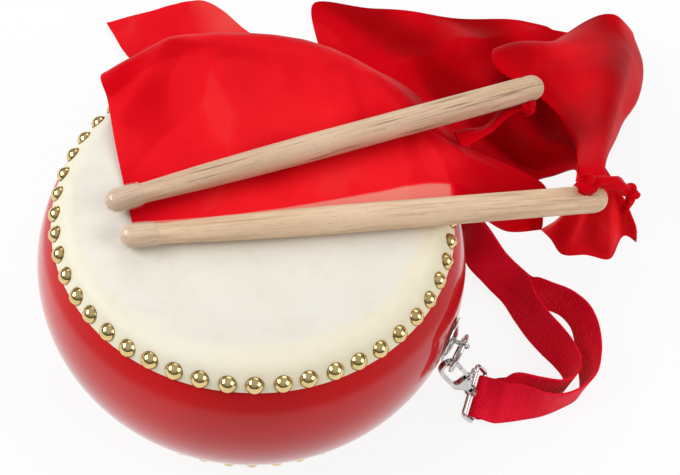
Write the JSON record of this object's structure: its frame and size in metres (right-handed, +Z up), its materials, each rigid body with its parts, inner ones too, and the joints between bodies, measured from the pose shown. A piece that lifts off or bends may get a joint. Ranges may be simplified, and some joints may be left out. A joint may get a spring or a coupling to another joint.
{
  "type": "barrel drum with sticks",
  "caption": "Red lacquered barrel drum with nailed skin heads, a webbing strap on snap hooks, and beech sticks tied with red silk scarves.",
  "frame": {"origin": "centre of the lower head's flat resting face", "axes": "+Z up along the drum's axis out of the playing head; -Y towards the viewer; sticks, scarves and strap lie towards +Y"},
  "size_m": [0.392, 0.4001, 0.1321],
  "materials": {
    "lacquer": "glossy red lacquer",
    "skin": "matt rawhide with polished brass nails",
    "nickel": "polished nickel plate",
    "beech": "sanded and lightly waxed",
    "clear_coating": "clear gloss dip",
    "webbing": "ribbed woven webbing",
    "silk": "satin silk"
  },
  "bodies": {
    "drum": {"shell": "lacquer", "nailed_head_top": "skin", "nailed_head_bottom": "skin", "hanger_plate_right": "nickel", "hanger_plate_left": "nickel", "hanger_eye_right": "nickel", "hanger_eye_left": "nickel", "swivel_loop_right": "nickel", "swivel_loop_left": "nickel", "strap_webbing": "webbing", "strap_slider": "nickel", "scarf_a": "silk", "scarf_b": "silk"},
    "ring_right": {"hanger_ring_right": "nickel"},
    "hook_right": {"snap_hook_right": "nickel", "gate_rivet_right": "nickel", "gate_spring_right": "nickel"},
    "gate_right": {"gate_right": "nickel"},
    "ring_left": {"hanger_ring_left": "nickel"},
    "hook_left": {"snap_hook_left": "nickel", "gate_rivet_left": "nickel", "gate_spring_left": "nickel"},
    "gate_left": {"gate_left": "nickel"},
    "stick_a": {"stick_a": "beech", "tip_cap_a": "clear_coating", "tie_a": "silk"},
    "stick_b": {"stick_b": "beech", "tip_cap_b": "clear_coating", "tie_b": "silk"}
  },
  "joints": [
    {"name": "ring_swing_right", "type": "hinge", "parent": "drum", "child": "ring_right", "pos_m": [0.12227, -0.03738, 0.05403], "axis": [0.2924, 0.9563, 0], "range_deg": [-4, 4]},
    {"name": "hook_swivel_right", "type": "hinge", "parent": "drum", "child": "hook_right", "pos_m": [0.13167, -0.04618, 0.02129], "axis": [-0.65, 0.0779, 0.7559], "range_deg": [-17, 17]},
    {"name": "gate_pivot_right", "type": "hinge", "parent": "hook_right", "child": "gate_right", "pos_m": [0.13035, -0.04347, 0.02848], "axis": [0.3453, -0.8559, 0.3851], "range_deg": [0, 28], "stiffness_Nm_per_rad": 0.004, "springref_deg": -11.46},
    {"name": "ring_swing_left", "type": "hinge", "parent": "drum", "child": "ring_left", "pos_m": [-0.11769, 0.04996, 0.05403], "axis": [-0.3907, -0.9205, 0], "range_deg": [-4, 4]},
    {"name": "hook_swivel_left", "type": "hinge", "parent": "drum", "child": "hook_left", "pos_m": [-0.11396, 0.07346, 0.02494], "axis": [0.0481, -0.8141, 0.5788], "range_deg": [-17, 17]},
    {"name": "gate_pivot_left", "type": "hinge", "parent": "hook_left", "child": "gate_left", "pos_m": [-0.11787, 0.06846, 0.02947], "axis": [0.184, 0.5767, 0.7959], "range_deg": [0, 28], "stiffness_Nm_per_rad": 0.004, "springref_deg": -11.46},
    {"name": "stick_a_lift", "type": "slide", "parent": "drum", "child": "stick_a", "axis": [0, 0, 1], "range_m": [0, 0.08]},
    {"name": "stick_b_lift", "type": "slide", "parent": "drum", "child": "stick_b", "axis": [0, 0, 1], "range_m": [0, 0.08]}
  ]
}
